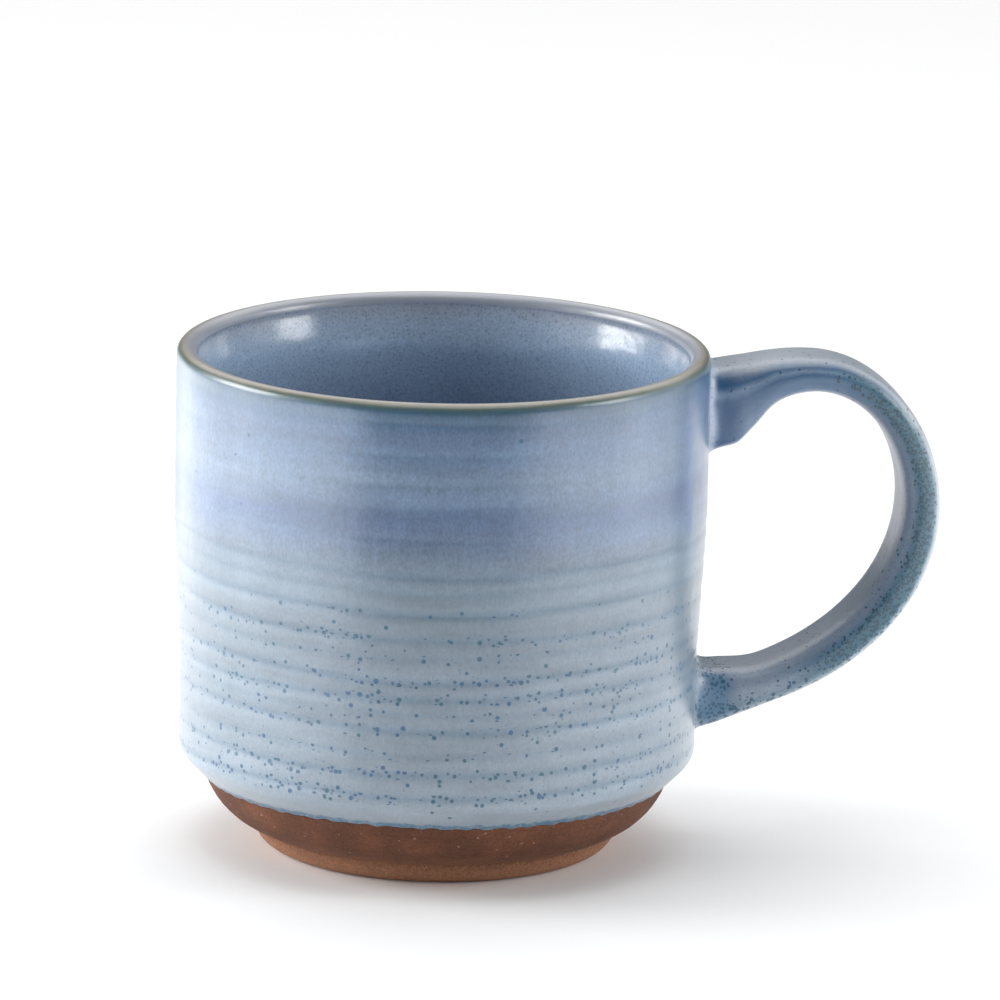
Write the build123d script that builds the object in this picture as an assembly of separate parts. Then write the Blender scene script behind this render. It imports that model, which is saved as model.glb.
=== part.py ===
from build123d import *
import math
import os

# A hand-thrown stoneware mug: a clay cup with a turned foot, a pulled strap handle luted on with slip, and
# three glaze coats. Lengths are in millimetres. The mug stands on z = 0 with its axis on Z and its handle
# along +X.

# cup wall, clay only
RIM_RADIUS = 45.7            # outside of the clay just under the lip
BELLY_RADIUS = 44.5          # outside of the clay above the shoulder
BELLY_TOP = 35.0             # the wall is upright from the shoulder to here
FLARE_TOP = 58.0             # it leans out to here, then is upright again
LIP_RADIUS = 1.35            # half round on top of the wall
LIP_CENTRE_Z = 86.1
LIP_DROP = 0.7               # short upright run inside, below the lip's half round
MOUTH_WALL = 4.2             # thickness below the lip's thinned edge
MOUTH_Z = 79.5
LOWER_WALL = 3.9             # thickness above the floor's corner
FLARE_BEND = 150.0           # radius of the gentle bends in the wall
LIP_BEND = 4.0               # inside, where the lip meets the slope of the thinned edge
EDGE_BEND = 20.0             # inside, below the thinned edge

# foot and bowl, clay only
FOOT_INNER_RADIUS = 25.4     # ring that the mug stands on
FOOT_OUTER_RADIUS = 27.7
FOOT_ROUND = 3.8             # quarter round outside the ring
BOWL_KINK_RADIUS = FOOT_OUTER_RADIUS + FOOT_ROUND
BOWL_MIDDLE = (37.3, 7.3)
GLAZE_LINE_RADIUS = 40.4     # the bare bowl ends and the glaze begins here
GLAZE_LINE_Z = 12.9
BEVEL_TOP_Z = 17.0           # a 45 degree bevel leads up to the wall
SHOULDER_BEND = 3.5
RECESS_DEPTH = 2.0           # hollow inside the foot ring
RECESS_SLOPE = 1.6
FLOOR_Z = 8.2                # top of the clay floor
CORNER_BEND = 16.0           # inside, between the floor and the wall

# coats
GLAZE = 0.35
SLIP = 0.5                   # luting slip between the handle's ends and the wall

# handle strap, all measured over its glaze
STRAP_WIDTH = 15.0
NECK_WIDTH = 15.4
ROOT_WIDTH = 15.8
EDGE_SHARE = 0.43            # edge radius as a share of the thickness
EDGE_MOST = 5.0

# its outer and inner lines follow quarter ellipses, above and below where the strap is furthest out:
# middle (x, z) and half axes
OUTER_ABOVE = ((63.5, 59.0), (23.3, 27.1))
OUTER_BELOW = ((40.0, 59.0), (46.8, 36.8))
INNER_ABOVE = ((64.0, 60.5), (16.1, 19.6))
INNER_BELOW = ((40.0, 60.5), (40.1, 31.6))
TURNS_ABOVE = (90, 70, 50, 30, 12)
TURNS_BELOW = (-6, -22, -38, -54, -68)

# stations where it spreads into its roots: outer point, inner point and width
UPPER_ROOT = [
    ((43.0, 84.0), (43.0, 70.0), ROOT_WIDTH),
    ((48.0, 84.5), (48.0, 71.0), NECK_WIDTH),
    ((51.5, 85.0), (52.0, 73.0), STRAP_WIDTH),
    ((57.0, 85.8), (57.5, 78.5), STRAP_WIDTH),
]
LOWER_ROOT = [
    ((48.5, 21.5), (48.5, 31.0), NECK_WIDTH),
    ((42.5, 19.0), (42.5, 31.5), ROOT_WIDTH),
]


def inside_line():
    """The clay's inner edge, from the lip down the wall and across the floor to the axis."""
    return FilletPolyline(
        (RIM_RADIUS - 2 * LIP_RADIUS, LIP_CENTRE_Z),
        (RIM_RADIUS - 2 * LIP_RADIUS, LIP_CENTRE_Z - LIP_DROP),
        (RIM_RADIUS - MOUTH_WALL, MOUTH_Z),
        (BELLY_RADIUS - LOWER_WALL, FLOOR_Z),
        (0, FLOOR_Z),
        radius=[LIP_BEND, EDGE_BEND, CORNER_BEND],
    )


def clay_profile():
    """The cup's half section, right of its axis."""
    bevel_radius = GLAZE_LINE_RADIUS + (BEVEL_TOP_Z - GLAZE_LINE_Z)
    underside = Polyline(
        (0, RECESS_DEPTH),
        (FOOT_INNER_RADIUS - RECESS_SLOPE, RECESS_DEPTH),
        (FOOT_INNER_RADIUS, 0),
        (FOOT_OUTER_RADIUS, 0),
    )
    foot = RadiusArc((FOOT_OUTER_RADIUS, 0), (BOWL_KINK_RADIUS, FOOT_ROUND), -FOOT_ROUND)
    bowl = ThreePointArc((BOWL_KINK_RADIUS, FOOT_ROUND), BOWL_MIDDLE, (GLAZE_LINE_RADIUS, GLAZE_LINE_Z))
    outside = FilletPolyline(
        (GLAZE_LINE_RADIUS, GLAZE_LINE_Z),
        (bevel_radius, BEVEL_TOP_Z),
        (BELLY_RADIUS, BELLY_TOP),
        (RIM_RADIUS, FLARE_TOP),
        (RIM_RADIUS, LIP_CENTRE_Z),
        radius=[SHOULDER_BEND, FLARE_BEND, FLARE_BEND],
    )
    lip = ThreePointArc(
        (RIM_RADIUS, LIP_CENTRE_Z),
        (RIM_RADIUS - LIP_RADIUS, LIP_CENTRE_Z + LIP_RADIUS),
        (RIM_RADIUS - 2 * LIP_RADIUS, LIP_CENTRE_Z),
    )
    axis = Line((0, FLOOR_Z), (0, RECESS_DEPTH))
    return make_face(Curve() + [underside, foot, bowl, outside, lip, inside_line(), axis])


def cavity_profile():
    """The half section of the space inside the cup, up to where the lip begins to round over."""
    mouth = Polyline(
        (0, FLOOR_Z),
        (0, LIP_CENTRE_Z),
        (RIM_RADIUS - 2 * LIP_RADIUS, LIP_CENTRE_Z),
    )
    return make_face(Curve() + [inside_line(), mouth])


def coats(clay):
    """Half sections of the liner glaze, and of the outer glaze from its lower edge up over the lip."""
    size = 2 * RIM_RADIUS
    above_line = Pos(0, GLAZE_LINE_Z) * Rectangle(size, size, align=(Align.MIN, Align.MIN))
    cavity = cavity_profile()
    grown = offset(clay, amount=GLAZE, kind=Kind.ARC)
    return grown & cavity, (grown - clay - cavity) & above_line


def turned(profile):
    """A profile drawn in X and Y, stood up in X and Z and turned once about the mug's axis."""
    return revolve(Rot(90, 0, 0) * profile, Axis.Z, 360)


def on_ellipse(ellipse, turn):
    """The point of an ellipse at a turn in degrees from its outermost point."""
    (middle_x, middle_z), (half_x, half_z) = ellipse
    angle = math.radians(turn)
    return (middle_x + half_x * math.cos(angle), middle_z + half_z * math.sin(angle))


def strap_stations():
    """Outer point, inner point and width of every station, from the upper root round to the lower."""
    round_part = []
    for turn in TURNS_ABOVE:
        round_part.append((on_ellipse(OUTER_ABOVE, turn), on_ellipse(INNER_ABOVE, turn), STRAP_WIDTH))
    for turn in TURNS_BELOW:
        round_part.append((on_ellipse(OUTER_BELOW, turn), on_ellipse(INNER_BELOW, turn), STRAP_WIDTH))
    return UPPER_ROOT + round_part + LOWER_ROOT


def strap(shrink):
    """The handle's solid, its ends buried in the cup wall, with shrink taken off each section all round."""
    sections = []
    for outer, inner, width in strap_stations():
        outer_point = Vector(outer[0], 0, outer[1])
        inner_point = Vector(inner[0], 0, inner[1])
        across = outer_point - inner_point
        centre = (outer_point + inner_point) / 2
        plane = Plane(origin=centre, x_dir=(0, 1, 0), z_dir=Vector(0, 1, 0).cross(across))
        edge = min(across.length * EDGE_SHARE, EDGE_MOST)
        section = RectangleRounded(width - 2 * shrink, across.length - 2 * shrink, edge - shrink)
        sections.append(plane * section)
    return loft(sections)


def write(name, shape):
    shape.label = name
    export_step(shape, f"parts/{name}.step")


clay = clay_profile()
liner_coat, outer_coat = coats(clay)

clay_body = turned(clay)
liner_glaze = turned(liner_coat)
glazed_body = clay_body + turned(outer_coat)
filled_body = clay_body + extrude(Circle(RIM_RADIUS - MOUTH_WALL / 2), LIP_CENTRE_Z)
slip_bed = turned(offset(clay, amount=SLIP, kind=Kind.ARC)) - clay_body

bare_strap = strap(GLAZE)
outside_strap = bare_strap - filled_body
slip_pads = (outside_strap & slip_bed).solids().sort_by(Axis.Z)
clay_handle = outside_strap - slip_bed
outer_glaze = turned(outer_coat) - bare_strap
handle_glaze = strap(0) - bare_strap - filled_body - glazed_body

os.makedirs("parts", exist_ok=True)
write("clay_body", clay_body)
write("clay_handle", clay_handle)
write("lower_slip_joint", slip_pads[0])
write("upper_slip_joint", slip_pads[-1])
write("outer_glaze", outer_glaze)
write("liner_glaze", liner_glaze)
write("handle_glaze", handle_glaze)
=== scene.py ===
import math

import bpy
import numpy as np
from mathutils import Matrix, Vector


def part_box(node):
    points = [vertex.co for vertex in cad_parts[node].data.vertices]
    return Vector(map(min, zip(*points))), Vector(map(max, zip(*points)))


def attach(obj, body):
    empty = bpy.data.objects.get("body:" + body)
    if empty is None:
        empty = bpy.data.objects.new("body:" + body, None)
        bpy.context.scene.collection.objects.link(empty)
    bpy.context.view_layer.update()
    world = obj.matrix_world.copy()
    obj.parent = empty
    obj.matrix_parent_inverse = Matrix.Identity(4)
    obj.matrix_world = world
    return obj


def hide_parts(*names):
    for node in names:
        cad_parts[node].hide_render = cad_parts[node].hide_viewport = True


# The looks of a hand-thrown stoneware mug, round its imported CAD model. The mug stands on z = 0 with its
# axis on Z and its handle along +X. Azimuth is counted from +X towards +Y. Lengths are in metres, but in
# millimetres in the materials and where a comment says so.

MM = 0.001
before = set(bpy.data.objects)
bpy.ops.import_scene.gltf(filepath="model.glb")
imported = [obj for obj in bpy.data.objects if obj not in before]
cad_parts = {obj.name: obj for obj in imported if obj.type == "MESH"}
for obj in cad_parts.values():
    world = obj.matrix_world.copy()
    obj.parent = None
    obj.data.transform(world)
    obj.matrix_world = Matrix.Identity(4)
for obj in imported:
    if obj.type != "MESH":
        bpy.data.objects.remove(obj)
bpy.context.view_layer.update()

glaze_low, glaze_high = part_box("outer_glaze")
liner_low, liner_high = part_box("liner_glaze")
clay_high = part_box("clay_body")[1]

# the glazed cup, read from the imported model
RIM_RADIUS = -glaze_low.x
GLAZE_LINE = glaze_low.z
CREST = glaze_high.z
GLAZE = CREST - clay_high.z
LIP_CENTRE = liner_high.z
FLOOR_TOP = liner_low.z
CLAY_RIM = RIM_RADIUS - GLAZE
LIP_RADIUS = CREST - GLAZE - LIP_CENTRE      # the half round on top of the clay wall

# the rest of the clay cup's shape
BELLY_RADIUS = 44.5 * MM
BELLY_TOP = 35.0 * MM
FLARE_TOP = 58.0 * MM
WALL_BEND = 150.0 * MM
SHOULDER_BEND = 3.5 * MM
BEVEL_RADIUS = 40.4 * MM
BEVEL_TOP = 17.0 * MM
LIP_DROP = 0.7 * MM
MOUTH_WALL = 4.2 * MM
MOUTH_Z = 79.5 * MM
LOWER_WALL = 3.9 * MM
LIP_BEND = 4.0 * MM
EDGE_BEND = 20.0 * MM
CORNER_BEND = 16.0 * MM
FOOT_INNER = 25.4 * MM
FOOT_OUTER = 27.7 * MM
FOOT_ROUND = 3.8 * MM
RECESS_DEPTH = 2.0 * MM
RECESS_SLOPE = 1.6 * MM
BOWL_MIDDLE = (37.3 * MM, 7.3 * MM)
AXIS_GAP = 0.4 * MM          # the skins stop this far from the axis and are closed by a fan
TUCK = 0.02 * MM             # the outer coat's hidden inner skin sits this far inside the clay

# throwing rings: heights in millimetres of the deep grooves and of the faint ones between them
DEEP_RINGS = (19, 23, 30.5, 36, 39.5, 47, 51.5, 58)
FAINT_RINGS = (26.5, 33.5, 43.5, 55, 64, 69.5, 74, 79, 84.5)
DEEP_RING = 0.19 * MM
FAINT_RING = 0.08 * MM
DEEPEST = 0.3 * MM
GROOVE_WIDTH = 0.75 * MM
GROOVE_WANDER = 0.35 * MM
LIP_FADE = 1.5 * MM          # they fade out over this height below the lip
LINE_FADE = 1.0 * MM         # and the clay's over this height above the glaze line

# the glaze's ragged lower edge
EDGE_WAVES = 0.22 * MM
EDGE_NICKS = 0.17 * MM
EDGE_REACH = 3.0 * MM        # it moves the coat up to this height above the glaze line
EDGE_SLANT = 0.8             # how far out it moves for each step up

# marks of the turning tool on the bare clay
TURNING_DEPTH = 0.09 * MM
TURNING_DRIFT = 0.25 * MM
FINE_TURNS = 0.9 * MM        # spacings
BROAD_TURNS = 2.3 * MM
TURNED_FROM = (0.6 * MM, 3.0 * MM)     # they come in between these heights
TURNED_TO = (0.3 * MM, 1.5 * MM)       # and go out between these distances below the glaze line

# mesh steps
AROUND = 640
UP_STEP = 0.4 * MM


# ---------------------------------------------------------------- shapes in the half section

def rounded_path(points, bends, step):
    """Points no further than step apart along a polyline whose corners are rounded with radii bends."""
    points = [np.array(p, float) for p in points]
    out = [points[0]]
    for before, corner, after, bend in zip(points, points[1:], points[2:], bends):
        arrive = (corner - before) / np.linalg.norm(corner - before)
        leave = (after - corner) / np.linalg.norm(after - corner)
        turn = math.acos(np.clip(arrive @ leave, -1, 1))
        reach = bend * math.tan(turn / 2)
        side = np.array([-arrive[1], arrive[0]]) * np.sign(arrive[0] * leave[1] - arrive[1] * leave[0])
        centre = corner - arrive * reach + side * bend
        count = max(2, int(math.ceil(bend * turn / step)))
        for a in np.linspace(0, turn, count + 1):
            out.append(centre - side * bend * math.cos(a) + arrive * bend * math.sin(a))
    out.append(points[-1])
    return resample(np.array(out), step)


def arc(centre, radius, start, end, step):
    """Points on an arc, with angles in degrees."""
    count = max(2, int(math.ceil(radius * math.radians(abs(end - start)) / step)))
    angles = np.radians(np.linspace(start, end, count + 1))
    return np.stack([centre[0] + radius * np.cos(angles), centre[1] + radius * np.sin(angles)], 1)


def resample(path, step):
    """The same path with long runs divided, and every given point kept."""
    out = [path[0]]
    for a, b in zip(path, path[1:]):
        length = np.linalg.norm(b - a)
        if length < 1e-9:
            continue
        count = max(1, int(math.ceil(length / step)))
        out.extend(a + (b - a) * k / count for k in range(1, count + 1))
    return np.array(out)


def unit(vectors):
    return vectors / np.linalg.norm(vectors, axis=1)[:, None]


def offset_path(path, distance):
    """The path moved to its left."""
    ahead = unit(np.gradient(path, axis=0))
    return path + distance * np.stack([-ahead[:, 1], ahead[:, 0]], 1)


def smooth_step(low, high, x):
    """0 at low and 1 at high, smooth between, whichever of them is the larger."""
    t = np.clip((x - low) / (high - low), 0, 1)
    return t * t * (3 - 2 * t)


def wander(azimuth, seed, periods, share=1.0):
    """A smooth closed wave round the cup, from -1 to 1 or so, made of the given numbers of periods."""
    rng = np.random.default_rng(seed)
    total = np.zeros_like(azimuth)
    for k in periods:
        total += rng.normal() * np.cos(k * azimuth + rng.uniform(0, 2 * math.pi)) / k ** (share / 2)
    return total / math.sqrt(sum(1 / k ** share for k in periods))


def groove_depth(azimuth, z):
    """How far the throwing rings cut into the wall at each point, and how near a groove is, 0 to 1."""
    depth = np.zeros_like(z)
    near = np.zeros_like(z)
    deep_rings = [(height, DEEP_RING) for height in DEEP_RINGS]
    faint_rings = [(height, FAINT_RING) for height in FAINT_RINGS]
    rings = sorted(deep_rings + faint_rings)
    for number, (height, deep) in enumerate(rings):
        middle = height * MM + GROOVE_WANDER * wander(azimuth, 100 + number, (1, 2, 3, 5))
        strength = 0.75 + 0.25 * wander(azimuth, 200 + number, (1, 2, 4))
        gap = np.abs(z - middle) / GROOVE_WIDTH
        depth += deep * strength * np.exp(-(gap ** 1.4))
        near = np.maximum(near, np.exp(-(gap ** 2)) * deep / DEEP_RING)
    return np.clip(depth, 0, DEEPEST), near


# ---------------------------------------------------------------- meshes

def sheet_mesh(name, loops, close_along=False, cap_start=False, cap_end=False, sharp=()):
    """A mesh skin over loops of points, each loop closed on itself. loops is (rows, columns, 3)."""
    rows, columns = loops.shape[:2]
    points = loops.reshape(-1, 3)
    i, j = np.meshgrid(np.arange(rows if close_along else rows - 1), np.arange(columns), indexing="ij")
    up, right = (i + 1) % rows, (j + 1) % columns
    quads = np.stack([i * columns + j, i * columns + right, up * columns + right, up * columns + j], -1)
    faces = quads.reshape(-1, 4).tolist()
    extra = []
    for row, wanted, flip in ((0, cap_start, True), (rows - 1, cap_end, False)):
        if wanted:
            extra.append(loops[row].mean(0))
            centre = len(points) + len(extra) - 1
            ring = [row * columns + k for k in range(columns)]
            pairs = list(zip(ring, ring[1:] + ring[:1]))
            faces += [[b, a, centre] if flip else [a, b, centre] for a, b in pairs]
    if extra:
        points = np.vstack([points, extra])
    mesh = bpy.data.meshes.new(name)
    mesh.from_pydata(points.tolist(), [], faces)
    mesh.update()
    mesh.shade_smooth()
    if sharp:
        mark_sharp(mesh, columns, sharp)
    piece = bpy.data.objects.new(name, mesh)
    bpy.context.scene.collection.objects.link(piece)
    return piece


def mark_sharp(mesh, columns, rows):
    """Marks the edges that run along the given rows, so that shading breaks there."""
    ends = np.zeros(len(mesh.edges) * 2, int)
    mesh.edges.foreach_get("vertices", ends)
    ends = ends.reshape(-1, 2) // columns
    along = (ends[:, 0] == ends[:, 1]) & np.isin(ends[:, 0], list(rows))
    layer = mesh.attributes.new("sharp_edge", "BOOLEAN", "EDGE")
    layer.data.foreach_set("value", along)


def turned_grid(path, around=AROUND):
    """Azimuth, radius and height of each point of a half section turned about the axis: (rows, columns)."""
    azimuth = np.linspace(0, 2 * math.pi, around, endpoint=False)
    shape = (len(path), around)
    return (
        np.broadcast_to(azimuth, shape).copy(),
        np.broadcast_to(path[:, :1], shape).copy(),
        np.broadcast_to(path[:, 1:], shape).copy(),
    )


def turned_points(azimuth, radius, z):
    return np.stack([radius * np.cos(azimuth), radius * np.sin(azimuth), z], -1)


def set_attribute(piece, name, values):
    """Stores one number for each vertex, for the material to read."""
    full = np.zeros(len(piece.data.vertices))
    flat = np.asarray(values, float).ravel()
    full[: len(flat)] = flat
    full[len(flat):] = flat[-1]
    layer = piece.data.attributes.new(name, "FLOAT", "POINT")
    layer.data.foreach_set("value", full.astype(np.float32))


def settle(piece, node):
    """Fixes a piece to the mug's only body, in the place of a CAD node."""
    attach(piece, "root")
    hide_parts(node)


# ---------------------------------------------------------------- the cup's half section

def outside_wall():
    """The clay wall from the glaze line up to the lip's centre height."""
    bevel_end = BEVEL_RADIUS + (BEVEL_TOP - GLAZE_LINE)
    points = [
        (BEVEL_RADIUS, GLAZE_LINE), (bevel_end, BEVEL_TOP), (BELLY_RADIUS, BELLY_TOP),
        (CLAY_RIM, FLARE_TOP), (CLAY_RIM, LIP_CENTRE),
    ]
    return rounded_path(points, [SHOULDER_BEND, WALL_BEND, WALL_BEND], UP_STEP)


def lip_line(grow):
    """The half round over the wall's top, from outside to inside, grown by that much."""
    return arc((CLAY_RIM - LIP_RADIUS, LIP_CENTRE), LIP_RADIUS + grow, 0, 180, UP_STEP)


def inside_wall():
    """The clay's inner edge from the lip down the wall and over the floor."""
    mouth = CLAY_RIM - 2 * LIP_RADIUS
    floor = FLOOR_TOP - GLAZE
    points = [
        (mouth, LIP_CENTRE), (mouth, LIP_CENTRE - LIP_DROP), (CLAY_RIM - MOUTH_WALL, MOUTH_Z),
        (BELLY_RADIUS - LOWER_WALL, floor), (AXIS_GAP, floor),
    ]
    return rounded_path(points, [LIP_BEND, EDGE_BEND, CORNER_BEND], UP_STEP)


def wall_radius(z):
    """Radius of the glazed wall at height z."""
    wall = offset_path(outside_wall(), -GLAZE)
    return np.interp(z, wall[:, 1], wall[:, 0])


def glaze_line_height(azimuth):
    """The glaze's ragged lower edge: slow waves, and small runs and nicks."""
    waves = EDGE_WAVES * wander(azimuth, 11, (2, 3, 5, 7))
    nicks = EDGE_NICKS * wander(azimuth, 12, (23, 41, 67, 97, 131), 0.3)
    return GLAZE_LINE + waves + nicks


def lip_fade(z):
    """1 on the wall, and 0 from the lip's centre height up."""
    return smooth_step(LIP_CENTRE, LIP_CENTRE - LIP_FADE, z)


def make_outer_glaze():
    """The outer coat, with the throwing rings cut into it and its ragged lower edge."""
    wall = outside_wall()
    outer = np.vstack([offset_path(wall, -GLAZE), lip_line(GLAZE)[1:]])
    inner = np.vstack([wall, lip_line(0.0)[1:]])[::-2]
    inner = np.vstack([inner[inner[:, 1] > outer[0, 1]], wall[:1]])
    path = np.vstack([outer, inner])
    azimuth, radius, z = turned_grid(path)
    row = np.arange(len(path))[:, None]
    depth, near = groove_depth(azimuth, z)
    depth *= lip_fade(z)
    radius -= depth + np.where(row < len(outer), 0, TUCK)
    edge_share = smooth_step(GLAZE_LINE + EDGE_REACH, GLAZE_LINE, z)
    shift = (glaze_line_height(azimuth) - GLAZE_LINE) * edge_share
    z += shift
    radius += shift * EDGE_SLANT
    piece = sheet_mesh("outer_glaze_coat", turned_points(azimuth, radius, z), close_along=True,
                       sharp=(0, len(outer) - 1, len(outer), len(path) - 1))
    lip_turn = np.degrees(np.arctan2(z - LIP_CENTRE, radius - (RIM_RADIUS - (CREST - LIP_CENTRE))))
    on_the_wall = row < len(wall)
    set_attribute(piece, "groove", near * on_the_wall)
    set_attribute(piece, "above_line", (z - GLAZE_LINE - shift) / MM)
    set_attribute(piece, "lip_turn", np.where(on_the_wall, 0, lip_turn))
    settle(piece, "outer_glaze")
    return piece


def make_liner_glaze():
    """The coat inside the cup, from just below the lip down over the floor."""
    wall = inside_wall()
    skin = offset_path(wall, -GLAZE)
    path = np.vstack([skin, wall[::-2]])
    azimuth, radius, z = turned_grid(path, AROUND // 2)
    piece = sheet_mesh("liner_glaze_coat", turned_points(azimuth, radius, z), close_along=True,
                       sharp=(0, len(skin) - 1, len(skin), len(path) - 1))
    settle(piece, "liner_glaze")
    return piece


def make_clay_body():
    """The clay cup, with the throwing rings under the glaze and turning marks on the bare bowl and foot."""
    wall = outside_wall()
    kink = FOOT_OUTER + FOOT_ROUND
    foot = arc((FOOT_OUTER, FOOT_ROUND), FOOT_ROUND, -90, 0, UP_STEP)
    bowl = circle_through((kink, FOOT_ROUND), BOWL_MIDDLE, (BEVEL_RADIUS, GLAZE_LINE), UP_STEP)
    under = resample(np.array([
        (AXIS_GAP, RECESS_DEPTH), (FOOT_INNER - RECESS_SLOPE, RECESS_DEPTH),
        (FOOT_INNER, 0), (FOOT_OUTER, 0),
    ]), UP_STEP)
    bare = np.vstack([under, foot[1:], bowl[1:]])
    covered = np.vstack([wall[1:], lip_line(0.0)[1:], inside_wall()[1:]])
    path = np.vstack([bare, covered])
    azimuth, radius, z = turned_grid(path)
    depth, _ = groove_depth(azimuth, z)
    depth *= lip_fade(z) * (np.arange(len(path)) < len(bare) + len(wall))[:, None]
    depth *= smooth_step(GLAZE_LINE, GLAZE_LINE + LINE_FADE, z)
    radius -= depth
    marks = TURNING_DEPTH * turning_marks(z, azimuth) * smooth_step(*TURNED_FROM, z)
    radius -= marks * smooth_step(GLAZE_LINE - TURNED_TO[0], GLAZE_LINE - TURNED_TO[1], z)
    piece = sheet_mesh("stoneware_body", turned_points(azimuth, radius, z), cap_start=True, cap_end=True)
    settle(piece, "clay_body")
    return piece


def turning_marks(z, azimuth):
    """Shallow marks of the turning tool, 0 to 1, level but for a slow drift."""
    drift = z + TURNING_DRIFT * wander(azimuth, 31, (1, 2, 3))
    fine = 0.5 + 0.5 * np.sin(drift * 2 * math.pi / FINE_TURNS)
    broad = 0.5 + 0.5 * np.sin(drift * 2 * math.pi / BROAD_TURNS + 1.0)
    return 0.5 * (fine + broad) * (0.8 + 0.2 * wander(azimuth, 32, (5, 9, 14)))


def circle_through(a, b, c, step):
    """Points on the arc from a through b to c."""
    (ax, ay), (bx, by), (cx, cy) = a, b, c
    d = 2 * (ax * (by - cy) + bx * (cy - ay) + cx * (ay - by))
    sa, sb, sc = ax * ax + ay * ay, bx * bx + by * by, cx * cx + cy * cy
    ux = (sa * (by - cy) + sb * (cy - ay) + sc * (ay - by)) / d
    uy = (sa * (cx - bx) + sb * (ax - cx) + sc * (bx - ax)) / d
    radius = math.hypot(ax - ux, ay - uy)
    start = math.degrees(math.atan2(ay - uy, ax - ux))
    end = math.degrees(math.atan2(cy - uy, cx - ux))
    return arc((ux, uy), radius, start, end, step)


# ---------------------------------------------------------------- the handle

# the strap's outer and inner lines over its glaze, in millimetres: quarter ellipses above and below where
# it is furthest out, given as middle (x, z) and half axes
OUTER_ABOVE = ((63.5, 59.0), (23.29, 27.1))
OUTER_BELOW = ((40.0, 59.0), (46.79, 36.8))
INNER_ABOVE = ((64.0, 60.5), (16.1, 19.6))
INNER_BELOW = ((40.0, 60.5), (40.1, 31.6))
TURNS = range(90, -69, -6)   # stations on them, in degrees from the outermost point
HALF_STRAP = 7.5
HALF_NECK = 7.7

# where it spreads into its roots: outer point, inner point and half width, in millimetres
UPPER_ROOT = [
    ((48.0, 84.5), (48.2, 70.4), HALF_NECK),
    ((50.0, 84.8), (50.6, 71.1), HALF_NECK),
    ((52.8, 85.2), (53.2, 73.6), HALF_STRAP),
    ((57.0, 85.8), (57.3, 78.1), HALF_STRAP),
]
LOWER_ROOT = [((48.5, 21.5), (48.5, 31.0), HALF_NECK)]
FACE_FLATNESS = 5.0          # superellipse power across the strap
EDGE_ROUNDNESS = (2.0, 3.2)  # the power through it, at its thinnest and at its roots
THIN_HALF, THICK_HALF = 3.0 * MM, 6.7 * MM
HANDLE_AROUND = 96
HANDLE_STEP = 0.55 * MM

# its fillets to the wall: sizes at the upward face, the sides and the downward face
UPPER_FILLET = (1.0 * MM, 1.8 * MM, 2.2 * MM)
LOWER_FILLET = (2.0 * MM, 2.0 * MM, 2.8 * MM)
FILLET_ROWS = 12
FILLET_PULL = 0.6            # how long their curves follow the strap and the wall, as a share of their size
BURIED = 0.3 * MM            # their last row lies this deep in the wall
GUIDE_RISE = 0.1 * MM        # and the point that guides them there lies this much higher


def spline(keys, values, at):
    """A smooth curve through values at keys, read at the places at."""
    values = np.array(values, float)
    slopes = np.gradient(values, keys, axis=0)
    span = np.clip(np.searchsorted(keys, at, side="right") - 1, 0, len(keys) - 2)
    width = (keys[span + 1] - keys[span])[:, None]
    t = ((at - keys[span])[:, None]) / width
    t2, t3 = t * t, t * t * t
    return (
        (2 * t3 - 3 * t2 + 1) * values[span] + (t3 - 2 * t2 + t) * width * slopes[span]
        + (3 * t2 - 2 * t3) * values[span + 1] + (t3 - t2) * width * slopes[span + 1]
    )


def on_ellipse(ellipse, turn):
    """The point of an ellipse at a turn in degrees from its outermost point."""
    (middle_x, middle_z), (half_x, half_z) = ellipse
    angle = math.radians(turn)
    return (middle_x + half_x * math.cos(angle), middle_z + half_z * math.sin(angle))


def strap_stations():
    """Outer point, inner point and half width of every station, from the upper root round to the lower."""
    stations = list(UPPER_ROOT)
    for turn in TURNS:
        outer, inner = (OUTER_ABOVE, INNER_ABOVE) if turn >= 0 else (OUTER_BELOW, INNER_BELOW)
        stations.append((on_ellipse(outer, turn), on_ellipse(inner, turn), HALF_STRAP))
    return stations + LOWER_ROOT


def strap_loops():
    """Loops of points round the strap from its upper to its lower end, and their places in the section."""
    stations = strap_stations()
    outer = np.array([s[0] for s in stations]) * MM
    inner = np.array([s[1] for s in stations]) * MM
    half_width = np.array([s[2] for s in stations]) * MM
    middle = (outer + inner) / 2
    keys = np.concatenate([[0], np.cumsum(np.linalg.norm(np.diff(middle, axis=0), axis=1))])
    at = np.linspace(0, keys[-1], int(keys[-1] / HANDLE_STEP))
    row = spline(keys, np.hstack([outer, inner, half_width[:, None]]), at)
    centre = (row[:, 0:2] + row[:, 2:4]) / 2
    half = (row[:, 0:2] - row[:, 2:4]) / 2
    angle = np.linspace(0, 2 * math.pi, HANDLE_AROUND, endpoint=False)
    power = np.interp(np.linalg.norm(half, axis=1), (THIN_HALF, THICK_HALF), EDGE_ROUNDNESS)[:, None]
    across = np.sign(np.cos(angle)) * np.abs(np.cos(angle)) ** (2 / FACE_FLATNESS) * np.ones((len(at), 1))
    through = np.sign(np.sin(angle)) * np.abs(np.sin(angle)) ** (2 / power)
    loops = np.zeros((len(at), HANDLE_AROUND, 3))
    loops[:, :, 0] = centre[:, None, 0] + half[:, None, 0] * through
    loops[:, :, 2] = centre[:, None, 1] + half[:, None, 1] * through
    loops[:, :, 1] = row[:, 4][:, None] * across
    return loops, angle, across, through


def on_wall(points, sunk):
    """The points moved along X onto the glazed wall, sunk that far into it."""
    radius = wall_radius(points[:, 2]) - sunk
    out = points.copy()
    out[:, 0] = np.sqrt(radius ** 2 - points[:, 1] ** 2)
    return out


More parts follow.
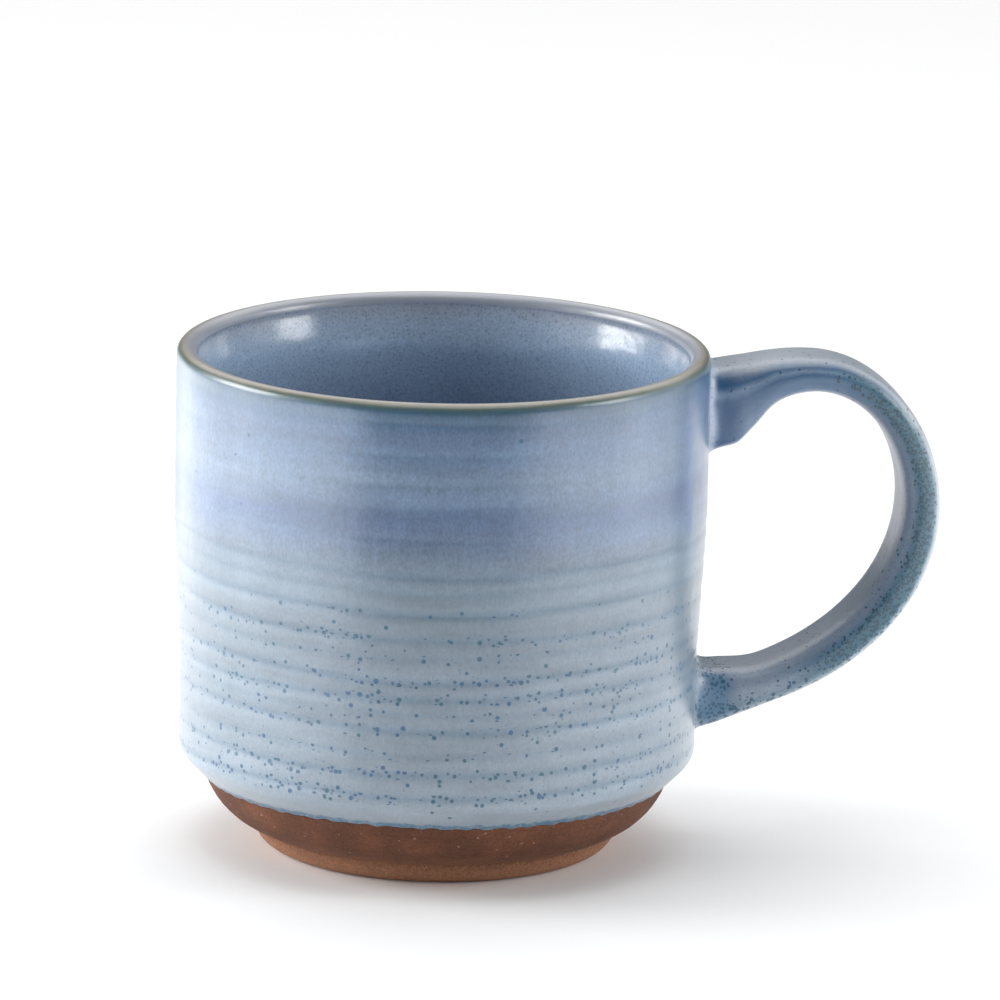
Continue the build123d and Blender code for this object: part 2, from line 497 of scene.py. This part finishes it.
def fillet_loops(edge, ahead, reach):
    """Loops that carry the strap's end loop onto the wall in a fillet. reach is its size at each point."""
    centre = edge.mean(0)
    outward = np.roll(edge, -1, 0) - np.roll(edge, 1, 0)
    outward[:, 0] = 0
    outward = unit(np.stack([np.zeros(len(edge)), -outward[:, 2], outward[:, 1]], 1))
    outward *= np.sign(np.sum(outward * (edge - centre), axis=1))[:, None]
    landing = on_wall(edge + outward * reach[:, None], BURIED)
    gap = np.abs(edge[:, 0] - landing[:, 0])
    first = edge + ahead * (FILLET_PULL * gap[:, None])
    second = on_wall(landing - outward * reach[:, None] * FILLET_PULL, BURIED - GUIDE_RISE)
    rows = []
    for t in np.linspace(0, 1, FILLET_ROWS + 1)[1:]:
        rows.append((1 - t) ** 3 * edge + 3 * (1 - t) ** 2 * t * first
                    + 3 * (1 - t) * t ** 2 * second + t ** 3 * landing)
    return np.array(rows)


def fillet_reach(angle, top, side, bottom):
    """Fillet size round a loop: at the upward face, the sides and the downward face."""
    upward = np.sin(angle)
    share = np.abs(upward) ** 1.5
    return side + (np.where(upward > 0, top, bottom) - side) * share


def make_handle():
    """The strap's glazed skin with its fillets. along, across and through tell its material the place."""
    loops, angle, across, through = strap_loops()
    upper = fillet_loops(loops[0], unit(loops[0] - loops[1]), fillet_reach(angle, *UPPER_FILLET))
    lower = fillet_loops(loops[-1], unit(loops[-1] - loops[-2]), fillet_reach(angle, *LOWER_FILLET))
    grid = np.vstack([upper[::-1], loops, lower])
    piece = sheet_mesh("handle_glaze_coat", grid, cap_start=True, cap_end=True)
    source_row = np.clip(np.arange(len(grid)) - len(upper), 0, len(loops) - 1)
    set_attribute(piece, "along", np.linspace(0, 1, len(grid))[:, None] * np.ones(HANDLE_AROUND))
    set_attribute(piece, "across", np.abs(across)[source_row])
    set_attribute(piece, "through", through[source_row])
    settle(piece, "handle_glaze")
    return piece


# ---------------------------------------------------------------- materials

class Paint:
    """A Principled material whose nodes are added and joined in short calls. Lengths are in millimetres."""

    def __init__(self, name):
        self.material = bpy.data.materials.new(name)
        self.material.use_nodes = True
        self.tree = self.material.node_tree
        self.shader = self.tree.nodes["Principled BSDF"]
        object_place = self.add("ShaderNodeTexCoord").outputs["Object"]
        self.place = self.scaled(object_place, 1 / MM)
        self.x, self.y, self.z = self.add("ShaderNodeSeparateXYZ", self.place).outputs
        self.normal = None

    def add(self, kind, *values, **settings):
        node = self.tree.nodes.new(kind)
        for key, setting in settings.items():
            setattr(node, key, setting)
        for socket, value in zip(node.inputs, values):
            self.feed(socket, value)
        return node

    def feed(self, socket, value):
        if isinstance(value, bpy.types.NodeSocket):
            self.tree.links.new(value, socket)
        else:
            socket.default_value = value

    def set(self, name, value):
        self.feed(self.shader.inputs[name], value)

    def gloss(self, weight, coat_roughness):
        """The glassy skin over a glaze's milky body."""
        self.set("IOR", GLAZE_IOR)
        self.set("Coat Weight", weight)
        self.set("Coat IOR", GLAZE_IOR)
        self.set("Coat Roughness", coat_roughness)

    def scaled(self, vector, amount):
        node = self.add("ShaderNodeVectorMath", vector, operation="SCALE")
        self.feed(node.inputs["Scale"], amount)
        return node.outputs["Vector"]

    def stretched(self, x, y, z):
        """The place with each axis scaled: a pattern read there is drawn out along the smaller ones."""
        node = self.add("ShaderNodeVectorMath", self.place, (x, y, z), operation="MULTIPLY")
        return node.outputs["Vector"]

    def math(self, operation, *values):
        return self.add("ShaderNodeMath", *values, operation=operation).outputs["Value"]

    def times(self, first, *others):
        for other in others:
            first = self.math("MULTIPLY", first, other)
        return first

    def plus(self, first, *others):
        for other in others:
            first = self.math("ADD", first, other)
        return first

    def fade(self, value, low, high):
        """0 at low and 1 at high, smooth between, whichever of them is the larger."""
        node = self.add("ShaderNodeMapRange", value, low, high, interpolation_type="SMOOTHSTEP")
        return node.outputs["Result"]

    def attribute(self, name):
        return self.add("ShaderNodeAttribute", attribute_name=name).outputs["Fac"]

    def noise(self, size, detail=2.0, rough=0.5, place=None):
        """Smooth noise from about -1 to 1, with features of that size."""
        node = self.add("ShaderNodeTexNoise", place or self.place)
        self.feed(node.inputs["Scale"], 1 / size)
        self.feed(node.inputs["Detail"], detail)
        self.feed(node.inputs["Roughness"], rough)
        return self.math("MULTIPLY_ADD", node.outputs["Fac"], 4.0, -2.0)

    def waver(self, value, *waves):
        """The value with smooth noise added, each wave given as (size, amount)."""
        return self.plus(value, *(self.times(self.noise(size), amount) for size, amount in waves))

    def spots(self, cell, small, big, share, softness=0.12):
        """1 inside round spots with radii from small to big, one to a cell, in that share of the cells."""
        node = self.add("ShaderNodeTexVoronoi", self.place, voronoi_dimensions="3D", feature="F1")
        self.feed(node.inputs["Scale"], 1 / cell)
        gate, size, _ = self.add("ShaderNodeSeparateXYZ", node.outputs["Color"]).outputs
        size = self.math("MULTIPLY", size, size)
        radius = self.math("MULTIPLY_ADD", size, (big - small) / cell, small / cell)
        edge = self.math("ADD", radius, softness / cell)
        inside = self.fade(node.outputs["Distance"], edge, radius)
        return self.times(inside, self.math("LESS_THAN", gate, share))

    def ramp(self, value, low, high, stops):
        """A colour looked up by value, with stops given as (value, colour)."""
        share = self.add("ShaderNodeMapRange", value, low, high).outputs["Result"]
        node = self.add("ShaderNodeValToRGB", share)
        band = node.color_ramp.elements
        while len(band) < len(stops):
            band.new(0.5)
        for element, (at, colour) in zip(band, stops):
            element.position = (at - low) / (high - low)
            element.color = (*colour, 1)
        return node.outputs["Color"]

    def mix(self, share, first, second):
        node = self.add("ShaderNodeMix", data_type="RGBA", clamp_factor=True)
        self.feed(node.inputs[0], share)
        self.feed(node.inputs[6], first if isinstance(first, bpy.types.NodeSocket) else (*first, 1))
        self.feed(node.inputs[7], second if isinstance(second, bpy.types.NodeSocket) else (*second, 1))
        return node.outputs[2]

    def dye(self, colour, dye, strength, *masks):
        """The colour taken that far towards the dye where every mask is 1."""
        return self.mix(self.times(*masks, strength), colour, dye)

    def shade(self, colour, amount):
        """The colour made lighter or darker by a number near 0."""
        return self.scaled(colour, self.math("ADD", amount, 1.0))

    def mottle(self, colour, *parts):
        """The colour made lighter and darker by noises, each part given as (noise, strength)."""
        return self.shade(colour, self.plus(*(self.times(noise, strength) for noise, strength in parts)))

    def bump(self, height, depth):
        """Relief of that many millimetres for each unit of height."""
        node = self.add("ShaderNodeBump")
        self.feed(node.inputs["Height"], height)
        self.feed(node.inputs["Distance"], depth * MM)
        if self.normal is not None:
            self.feed(node.inputs["Normal"], self.normal)
        self.normal = node.outputs["Normal"]
        self.set("Normal", self.normal)


# Colours are linear. A ramp's stops are (value, colour).
GLAZE_IOR = 1.55

# the outer glaze
WALL_COLOURS = [               # by height in millimetres
    (13, (0.260, 0.325, 0.390)), (17, (0.290, 0.360, 0.430)), (22, (0.235, 0.300, 0.370)),
    (48, (0.180, 0.240, 0.305)), (54, (0.165, 0.230, 0.300)), (59, (0.135, 0.200, 0.285)),
    (64, (0.085, 0.150, 0.275)), (67.5, (0.068, 0.130, 0.265)), (70, (0.105, 0.180, 0.310)),
    (73, (0.130, 0.205, 0.320)), (79, (0.088, 0.165, 0.300)), (82, (0.078, 0.150, 0.280)),
    (84, (0.045, 0.120, 0.235)), (86, (0.025, 0.090, 0.170)),
]
LIP_COLOURS = [                # by degrees over the lip, from outside to inside
    (0, (0.045, 0.115, 0.190)), (25, (0.050, 0.115, 0.140)), (44, (0.095, 0.125, 0.095)),
    (60, (0.200, 0.185, 0.135)), (72, (0.280, 0.255, 0.205)), (86, (0.275, 0.270, 0.255)),
    (104, (0.330, 0.345, 0.380)), (180, (0.350, 0.390, 0.470)),
]
GROOVE_BLUE = (0.085, 0.175, 0.270)
DRIP_BLUE = (0.035, 0.100, 0.300)
DRIP_LINE = (0.5, 0.866)       # the drip runs down where x and y with these weights cancel out, 30 degrees
                               # from the handle towards the camera
RUN_BLUE = (0.120, 0.210, 0.390)
WALL_DUST = (0.045, 0.130, 0.200)
SPECK = (0.000, 0.088, 0.155)
SPECK_BLUE = (0.000, 0.080, 0.200)
EDGE_BLUE = (0.000, 0.115, 0.225)

# the liner
LINER_LIT_AND_SHADED_COLOURS = [              # by height in millimetres: darker towards the floor as painted shade, brightest just under the lip as painted light, greyer at the lip itself
    (10, (0.145, 0.210, 0.315)), (60, (0.185, 0.260, 0.380)), (72, (0.275, 0.375, 0.520)),
    (80, (0.370, 0.500, 0.670)), (83, (0.380, 0.490, 0.640)), (86.2, (0.355, 0.400, 0.485)),
]
LINER_FLECK = (0.110, 0.180, 0.310)
LINER_PALE_FLECK = (0.420, 0.480, 0.520)

# the handle, from its inner face at -1 to its outer face at 1
FACE_COLOURS = [(-1.0, (0.225, 0.270, 0.330)), (0.0, (0.250, 0.290, 0.350)), (1.0, (0.300, 0.345, 0.410))]
POOLED_COLOURS = [             # its sides near the upper root
    (-1.0, (0.260, 0.310, 0.390)), (-0.80, (0.200, 0.270, 0.380)), (-0.35, (0.075, 0.150, 0.270)),
    (0.20, (0.045, 0.115, 0.230)), (0.42, (0.190, 0.280, 0.400)), (0.62, (0.050, 0.125, 0.240)),
    (0.84, (0.200, 0.260, 0.350)), (1.0, (0.300, 0.330, 0.390)),
]
WORN_COLOURS = [               # its sides further on
    (-1.0, (0.270, 0.310, 0.370)), (-0.75, (0.210, 0.265, 0.345)), (-0.3, (0.090, 0.165, 0.260)),
    (0.35, (0.070, 0.150, 0.220)), (0.62, (0.210, 0.295, 0.360)), (0.85, (0.440, 0.490, 0.540)),
]
UPPER_ROOT_BLUE = (0.004, 0.062, 0.180)
# a painted highlight on the upper fillet, where the strap meets the wall
UPPER_FILLET_HIGHLIGHT = (0.370, 0.440, 0.560)
ABOVE_LOWER_ROOT = (0.230, 0.285, 0.365)
LOWER_ROOT_BLUE = (0.030, 0.140, 0.270)
# a painted highlight on the lower fillet, where the strap meets the wall
LOWER_FILLET_HIGHLIGHT = (0.270, 0.340, 0.420)
THICK_TEAL = (0.000, 0.090, 0.138)
HANDLE_DUST = (0.045, 0.125, 0.185)
PEPPER = (0.000, 0.040, 0.068)
HANDLE_SPECK = (0.000, 0.070, 0.140)

# the clay
CLAY = (0.142, 0.052, 0.025)
SLIP_CLAY = (0.195, 0.090, 0.055)
FOOT_BOUNCE_LIGHT = (2.8, 3.7, 4.3)     # how much paler the clay is painted at the very bottom, as bounce light from the floor
PATCHES = (0.82, 1.25)         # how dark and how light its patches are
PALE_GRIT = (0.420, 0.290, 0.200)
DARK_GRIT = (0.040, 0.020, 0.014)

PAPER = (0.94, 0.94, 0.94)


def outer_glaze_paint():
    """Milky white-blue glaze, deeper blue towards the lip, with teal specks in the throwing rings."""
    paint = Paint("milky_blue_glaze")
    paint.gloss(1.0, 0.32)
    colour = paint.ramp(paint.waver(paint.z, (26, 1.6), (6, 0.5)), 10, 90, WALL_COLOURS)
    brushed = paint.noise(2.6, 3, 0.6, paint.stretched(0.12, 0.12, 1))
    broad = paint.noise(5.5, 2, 0.5, paint.stretched(0.20, 0.20, 1))
    colour = paint.mottle(colour, (brushed, 0.13), (broad, 0.12))
    groove = paint.attribute("groove")
    colour = paint.dye(colour, GROOVE_BLUE, 0.50, groove)

    streak = paint.noise(1.5, 3, 0.6, paint.stretched(1, 1, 0.22))
    grain = paint.noise(0.45, 2, 0.6, paint.stretched(1, 1, 0.6))
    cloud = paint.noise(11, 3, 0.55)
    speckle = paint.plus(paint.times(streak, 0.06), paint.times(grain, 0.20), paint.times(cloud, 0.06))
    upper = paint.fade(paint.z, 52, 62)
    colour = paint.shade(colour, paint.times(speckle, paint.plus(paint.times(upper, 0.7), 0.6)))

    off_line = paint.plus(paint.times(paint.x, DRIP_LINE[0]), paint.times(paint.y, DRIP_LINE[1]))
    off_line = paint.math("ABSOLUTE", paint.waver(off_line, (7, 0.5)))
    drip = paint.times(paint.fade(off_line, 2.8, 0.3), paint.fade(paint.x, 20, 30))
    drip_heights = (paint.fade(paint.z, 56, 63), paint.fade(paint.z, 84, 79))
    colour = paint.dye(colour, DRIP_BLUE, 0.60, drip, *drip_heights)

    run = paint.fade(paint.x, 0.88 * RIM_RADIUS / MM, 0.99 * RIM_RADIUS / MM)
    ridge = paint.fade(paint.noise(2.2, 2, 0.5, paint.stretched(1, 1, 0.06)), -0.1, 0.6)
    colour = paint.dye(colour, RUN_BLUE, 0.65, run, ridge, paint.fade(paint.z, 44, 60))

    low = paint.fade(paint.z, 54, 45)
    foot_clear = paint.fade(paint.z, 15, 19)
    drifts = paint.fade(paint.noise(16, 2), -0.7, 0.8)
    dense = paint.plus(paint.times(groove, 0.85), 0.07)
    share = paint.plus(paint.times(dense, low, foot_clear, paint.plus(drifts, 0.55)), 0.004)
    specks = paint.spots(1.05, 0.22, 0.40, share, 0.16)
    dust = paint.spots(0.75, 0.07, 0.15, paint.plus(paint.times(groove, 0.45), 0.14), 0.10)
    colour = paint.dye(colour, WALL_DUST, 0.50, dust)
    speck_colour = paint.mix(paint.fade(paint.noise(9), -0.3, 0.6), SPECK, SPECK_BLUE)
    colour = paint.dye(colour, speck_colour, 0.96, specks)

    above = paint.plus(paint.attribute("above_line"), paint.times(paint.noise(1.1, 3, 0.6), 0.30))
    edge = paint.times(paint.fade(above, 0.90, 0.40), paint.fade(paint.noise(0.8, 3, 0.7), -0.9, 0.1))
    colour = paint.dye(colour, EDGE_BLUE, 0.90, edge)

    lip = paint.plus(paint.attribute("lip_turn"), paint.times(paint.noise(3, 3), 5))
    colour = paint.mix(paint.fade(lip, 2, 20), colour, paint.ramp(lip, 0, 180, LIP_COLOURS))
    paint.set("Base Color", colour)

    paint.bump(paint.noise(2.4, 2), 0.020)
    paint.bump(paint.noise(9, 2, 0.5, paint.stretched(1, 1, 0.7)), 0.10)
    paint.bump(specks, -0.020)
    paint.set("Roughness", paint.plus(paint.times(edge, 0.2), paint.times(specks, 0.1), 0.33))
    return paint.material


def liner_glaze_paint():
    """Glossy grey-blue liner, greyer where it thins at the lip, darker towards the floor as painted shade and
    palest just under the lip as painted light, with a fine dark fleck.
    """
    paint = Paint("liner_glaze")
    paint.gloss(0.6, 0.16)
    # painted shade and light: the colour by height darkens down towards the floor and is brightest just under
    # the lip
    colour = paint.ramp(paint.waver(paint.z, (12, 0.8)), 0, 90, LINER_LIT_AND_SHADED_COLOURS)
    colour = paint.mottle(colour, (paint.noise(0.5, 2, 0.6), 0.19), (paint.noise(14, 3), 0.07))
    fleck = paint.spots(0.62, 0.10, 0.22, 0.55, 0.10)
    colour = paint.dye(colour, LINER_FLECK, 0.35, fleck)
    pale = paint.spots(1.1, 0.08, 0.18, 0.16, 0.10)
    colour = paint.dye(colour, LINER_PALE_FLECK, 0.35, pale)
    paint.set("Base Color", colour)
    paint.bump(paint.noise(2.6, 2), 0.014)
    paint.bump(paint.noise(10, 2), 0.06)
    paint.set("Roughness", paint.plus(paint.times(fleck, 0.08), 0.17))
    return paint.material


def handle_glaze_paint():
    """Pale faces, blue pooled on the sides, painted highlights on the fillets at both roots, and dense teal
    specks from the top round to the lower root.
    """
    paint = Paint("handle_glaze")
    paint.gloss(0.5, 0.34)
    along = paint.waver(paint.attribute("along"), (9, 0.012))
    through = paint.waver(paint.attribute("through"), (4, 0.06))
    side = paint.fade(paint.attribute("across"), 0.60, 0.84)
    sides = paint.mix(
        paint.fade(along, 0.36, 0.22),
        paint.ramp(through, -1, 1, WORN_COLOURS),
        paint.ramp(through, -1, 1, POOLED_COLOURS),
    )
    colour = paint.mix(side, paint.ramp(through, -1, 1, FACE_COLOURS), sides)
    ridge = paint.times(paint.fade(through, 0.22, 0.40), paint.fade(through, 0.62, 0.48))
    root = paint.times(paint.fade(along, 0.11, 0.05), paint.plus(paint.times(ridge, -0.55), 1.0))
    colour = paint.dye(colour, UPPER_ROOT_BLUE, 0.88, root, side)
    # painted highlight along the upper fillet
    colour = paint.dye(colour, UPPER_FILLET_HIGHLIGHT, 0.85, paint.fade(along, 0.050, 0.028))
    above_lower = paint.times(paint.fade(along, 0.78, 0.88), paint.fade(along, 0.95, 0.91))
    colour = paint.dye(colour, ABOVE_LOWER_ROOT, 0.9, above_lower, paint.fade(through, 0.7, 0.2), side)
    lower_end = paint.times(paint.fade(along, 0.915, 0.945), paint.fade(along, 0.985, 0.955))
    colour = paint.dye(colour, LOWER_ROOT_BLUE, 0.65, lower_end, side)
    # painted highlight along the lower fillet
    colour = paint.dye(colour, LOWER_FILLET_HIGHLIGHT, 0.85, paint.fade(along, 0.965, 0.99))
    colour = paint.mottle(colour, (paint.noise(0.6, 2, 0.6), 0.07), (paint.noise(7, 3), 0.06))

    round_back = paint.times(paint.fade(along, 0.20, 0.34), paint.fade(along, 0.84, 0.70))
    belt = paint.times(paint.fade(through, -0.60, -0.10), paint.fade(through, 0.74, 0.44))
    thick = paint.times(side, belt, round_back)
    below = paint.times(paint.fade(along, 0.60, 0.74), paint.fade(through, -0.1, 0.55))
    dotted = paint.plus(paint.times(below, side), lower_end)
    peppering = paint.spots(0.48, 0.14, 0.30, paint.plus(paint.times(thick, 0.80), 0.01), 0.12)
    specks = paint.spots(0.72, 0.18, 0.38, paint.plus(paint.times(dotted, 0.66), 0.022), 0.12)
    dust = paint.spots(0.46, 0.08, 0.18, paint.plus(paint.times(thick, 0.6), 0.30), 0.10)
    colour = paint.dye(colour, THICK_TEAL, 0.65, thick)
    colour = paint.dye(colour, HANDLE_DUST, 0.45, dust)
    colour = paint.dye(colour, PEPPER, 0.92, peppering)
    colour = paint.dye(colour, HANDLE_SPECK, 0.92, specks)
    paint.set("Base Color", colour)
    paint.bump(paint.noise(2.2, 2), 0.018)
    paint.bump(paint.noise(8, 2), 0.10)
    paint.set("Roughness", paint.plus(paint.times(specks, 0.1), 0.38))
    return paint.material


def tinted(colour, gains):
    return tuple(part * gain for part, gain in zip(colour, gains))


def clay_paint(name, colour, grit, ring_depth):
    """Matt brown fired clay with grit, pits and the rings left by the turning tool, painted paler towards the
    very bottom as bounce light from the floor.
    """
    paint = Paint(name)
    out = paint.add("ShaderNodeVectorMath", paint.stretched(1, 1, 0), operation="LENGTH").outputs["Value"]
    drift = paint.times(paint.noise(14), 0.3)
    rings_at = paint.add("ShaderNodeCombineXYZ", paint.plus(out, drift), paint.plus(paint.z, drift))
    rings = paint.noise(0.55, 3, 0.6, rings_at.outputs[0])
    grain = paint.noise(0.40, 3, 0.75)
    coarse = paint.noise(0.9, 3, 0.7)
    patch = paint.fade(paint.noise(7, 3), -0.6, 1.0)
    base = paint.mix(patch, *(tinted(colour, (gain,) * 3) for gain in PATCHES))
    # painted bounce light from the floor: the clay made paler towards the very bottom
    base = paint.dye(base, tinted(colour, FOOT_BOUNCE_LIGHT), 0.8, paint.fade(paint.z, 7.0, 0.5))
    base = paint.mottle(base, (grain, 0.50), (coarse, 0.18), (rings, 0.08))
    pale = paint.spots(1.1, 0.07, 0.22, grit, 0.07)
    dark = paint.spots(1.7, 0.06, 0.22, grit * 0.7, 0.06)
    base = paint.dye(base, PALE_GRIT, 0.55, pale)
    base = paint.dye(base, DARK_GRIT, 0.75, dark)
    paint.set("Base Color", base)
    paint.set("Specular IOR Level", 0.35)
    paint.bump(grain, 0.070)
    paint.bump(rings, ring_depth)
    paint.bump(dark, -0.10)
    paint.set("Roughness", paint.plus(paint.times(grain, 0.05), 0.70))
    return paint.material


def floor_paint():
    """Plain white studio paper with a faint tooth."""
    paint = Paint("studio_paper")
    tooth = paint.noise(3, 3)
    paint.set("Base Color", paint.mottle(PAPER, (tooth, 0.004)))
    paint.bump(tooth, 0.01)
    paint.set("Roughness", 0.95)
    return paint.material


def put_on(piece, material):
    piece.data.materials.clear()
    piece.data.materials.append(material)


put_on(make_outer_glaze(), outer_glaze_paint())
put_on(make_liner_glaze(), liner_glaze_paint())
put_on(make_clay_body(), clay_paint("bare_stoneware", CLAY, 0.30, 0.020))
put_on(make_handle(), handle_glaze_paint())
put_on(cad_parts["clay_handle"], clay_paint("handle_stoneware", CLAY, 0.25, 0.0))
slip = clay_paint("luting_slip", SLIP_CLAY, 0.08, 0.0)
put_on(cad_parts["upper_slip_joint"], slip)
put_on(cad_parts["lower_slip_joint"], slip)


# ---------------------------------------------------------------- the studio

CAMERA_RISE = 13.9           # degrees above the table
CAMERA_TURN = 7.5            # degrees that the handle points away from the camera
CAMERA_ROLL = 1.19
CAMERA_DISTANCE = 1.8
FOCAL_MM = 374.2
SENSOR_MM = 36
SEES_TO = 20                 # the camera's far clipping distance
MUG_MIDDLE = Vector((0, 0, 44.6 * MM))
VIEW_RIGHT = 10.19 * MM      # where the camera looks, from the mug's middle
VIEW_UP = 15.73 * MM
FLOOR_SIZE = 8
WORLD_STRENGTH = 0.15

# each panel's place (bearing in degrees from the camera to the right, distance, height), target, size and
# radiance, 1 for a white surface in full light. The low panels are mirrored in the glaze at the wall's sides.
SOFTBOXES = {
    "left_front_panel": ((-62, 0.20, 0.05), (0, 0, 0.05), (0.22, 0.10), 1.9),
    "left_side_panel": ((-114, 0.20, 0.05), (0, 0, 0.05), (0.22, 0.10), 1.15),
    "right_front_panel": ((62, 0.21, 0.05), (0, 0, 0.05), (0.22, 0.10), 1.40),
    "right_side_panel": ((104, 0.21, 0.05), (0, 0, 0.05), (0.18, 0.10), 0.65),
    "left_softbox": ((-96, 0.80, 0.36), (0, 0, 0.08), (0.46, 0.36), 8.8),
    "left_wide_softbox": ((-90, 0.95, 0.42), (0, 0, 0.08), (1.40, 0.50), 0.8),
    "right_softbox": ((79, 0.80, 0.39), (0, 0, 0.08), (0.28, 0.36), 6.0),
    "right_wide_softbox": ((100, 0.95, 0.42), (0, 0, 0.08), (1.20, 0.50), 0.8),
    "overhead_softbox": ((0, 0.0, 1.20), (0, 0, 0), (0.90, 0.90), 1.8),
    "back_softbox": ((180, 0.95, 1.00), (0, 0.60, 0), (2.2, 1.2), 1.4),
}


def add_camera():
    rise, turn = math.radians(CAMERA_RISE), math.radians(CAMERA_TURN)
    back = Vector((-math.sin(turn) * math.cos(rise), -math.cos(turn) * math.cos(rise), math.sin(rise)))
    right = Vector((math.cos(turn), -math.sin(turn), 0))
    up = back.cross(right)
    place = MUG_MIDDLE + back * CAMERA_DISTANCE
    target = MUG_MIDDLE + right * VIEW_RIGHT + up * VIEW_UP
    look = (target - place).normalized()
    side = look.cross(Vector((0, 0, 1))).normalized()
    top = side.cross(look)
    turned = Matrix((side, top, -look)).transposed()
    roll = Matrix.Rotation(math.radians(CAMERA_ROLL), 3, "Z")
    data = bpy.data.cameras.new("camera")
    data.lens = FOCAL_MM
    data.sensor_width = SENSOR_MM
    data.clip_end = SEES_TO
    camera = bpy.data.objects.new("camera", data)
    camera.matrix_world = Matrix.Translation(place) @ (turned @ roll).to_4x4()
    bpy.context.scene.collection.objects.link(camera)
    bpy.context.scene.camera = camera


def studio_place(bearing, distance, height):
    angle = math.radians(-90 - CAMERA_TURN + bearing)
    return Vector((distance * math.cos(angle), distance * math.sin(angle), height))


def add_softbox(name, place, target, size, radiance):
    """An evenly bright panel that the camera doesn't see."""
    data = bpy.data.lights.new(name, "AREA")
    data.shape = "RECTANGLE"
    data.size, data.size_y = size
    data.energy = radiance * math.pi * size[0] * size[1]
    box = bpy.data.objects.new(name, data)
    box.location = place
    box.rotation_euler = (Vector(target) - Vector(place)).to_track_quat("-Z", "Y").to_euler()
    box.visible_camera = False
    bpy.context.scene.collection.objects.link(box)


def add_floor():
    bpy.ops.mesh.primitive_grid_add(x_subdivisions=8, y_subdivisions=8, size=FLOOR_SIZE)
    floor = bpy.context.object
    floor.name = "studio_floor"
    put_on(floor, floor_paint())


def add_world():
    world = bpy.data.worlds.new("studio")
    bpy.context.scene.world = world
    world.use_nodes = True
    background = world.node_tree.nodes["Background"]
    background.inputs["Color"].default_value = (1, 1, 1, 1)
    background.inputs["Strength"].default_value = WORLD_STRENGTH


add_camera()
add_floor()
for box_name, (box_place, box_target, box_size, box_radiance) in SOFTBOXES.items():
    add_softbox(box_name, studio_place(*box_place), box_target, box_size, box_radiance)
add_world()
bpy.context.scene.view_settings.view_transform = "Standard"
